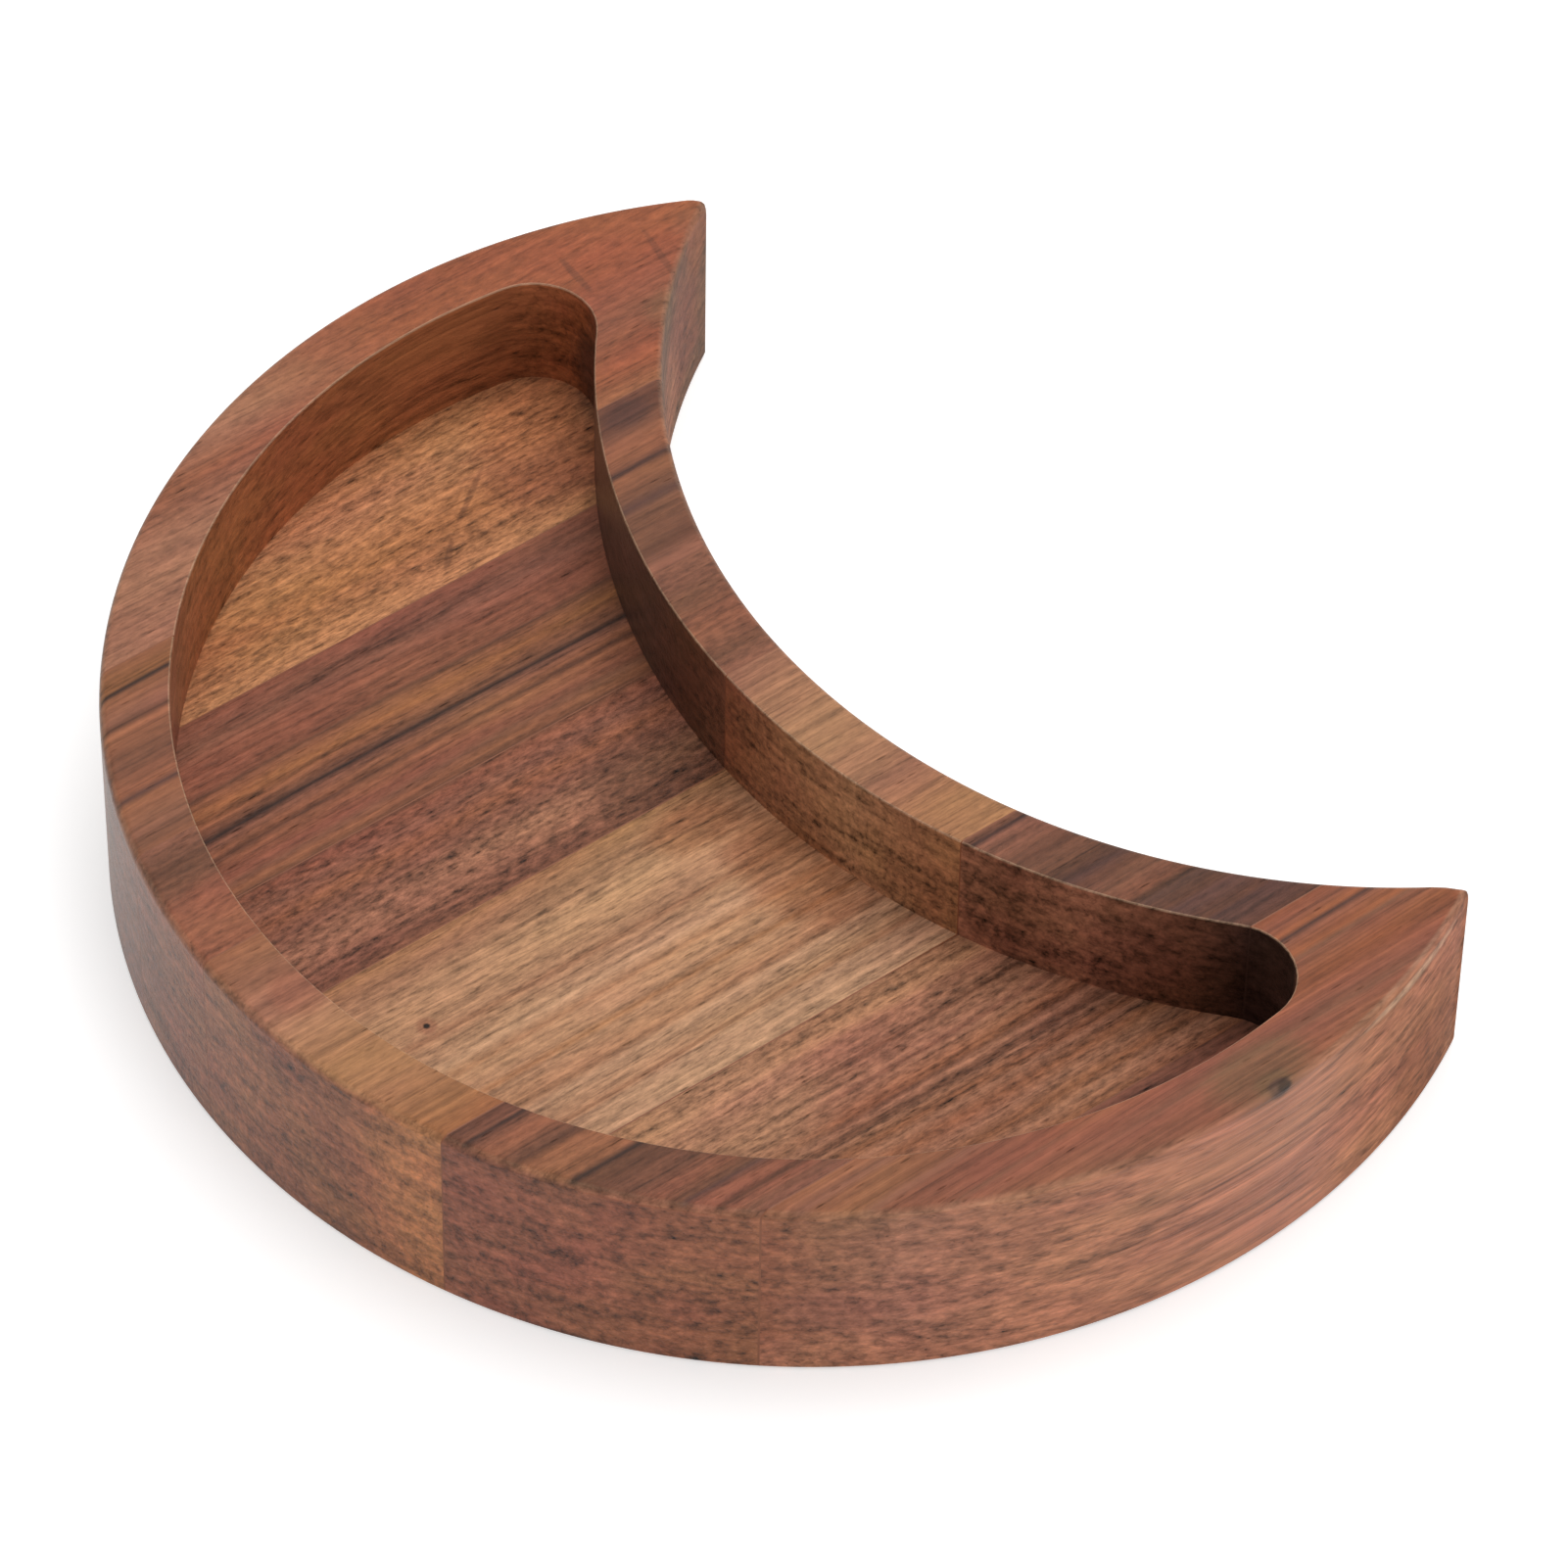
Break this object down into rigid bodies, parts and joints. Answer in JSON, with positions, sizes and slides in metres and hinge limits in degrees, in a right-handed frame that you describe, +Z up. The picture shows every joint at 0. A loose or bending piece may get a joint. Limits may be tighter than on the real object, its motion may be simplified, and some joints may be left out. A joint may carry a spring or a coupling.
{
  "type": "crescent tray",
  "caption": "Crescent-moon tray of oiled hardwood with a routed pocket that holds small things, built up from edge-glued staves.",
  "frame": {"origin": "bottom centre of the tray's box, on the underside", "axes": "+X from the left tip to the right tip, +Y along the grain and the axis of symmetry towards the open side of the crescent, +Z up"},
  "size_m": [0.2, 0.1488, 0.0326],
  "materials": {
    "golden_wood": "satin oiled hardwood, golden tan with a curly figure",
    "striped_wood": "satin oiled hardwood, brown with an orange and a blue-black stripe",
    "dark_wood": "satin oiled hardwood, plain dark brown",
    "pale_wood": "satin oiled hardwood, pale tan with fine straight stripes",
    "streaked_wood": "satin oiled hardwood, red-brown with dark streaks",
    "red_wood": "satin oiled hardwood, plain red-brown with a small knot",
    "glue": "cured wood glue, sanded flush and oiled over"
  },
  "bodies": {
    "root": {"left_tip_stave": "golden_wood", "left_striped_stave": "striped_wood", "left_dark_stave": "dark_wood", "middle_pale_stave": "pale_wood", "right_streaked_stave": "streaked_wood", "right_tip_stave": "red_wood", "glue_line_1": "glue", "glue_line_2": "glue", "glue_line_3": "glue", "glue_line_4": "glue", "glue_line_5": "glue"}
  },
  "joints": []
}
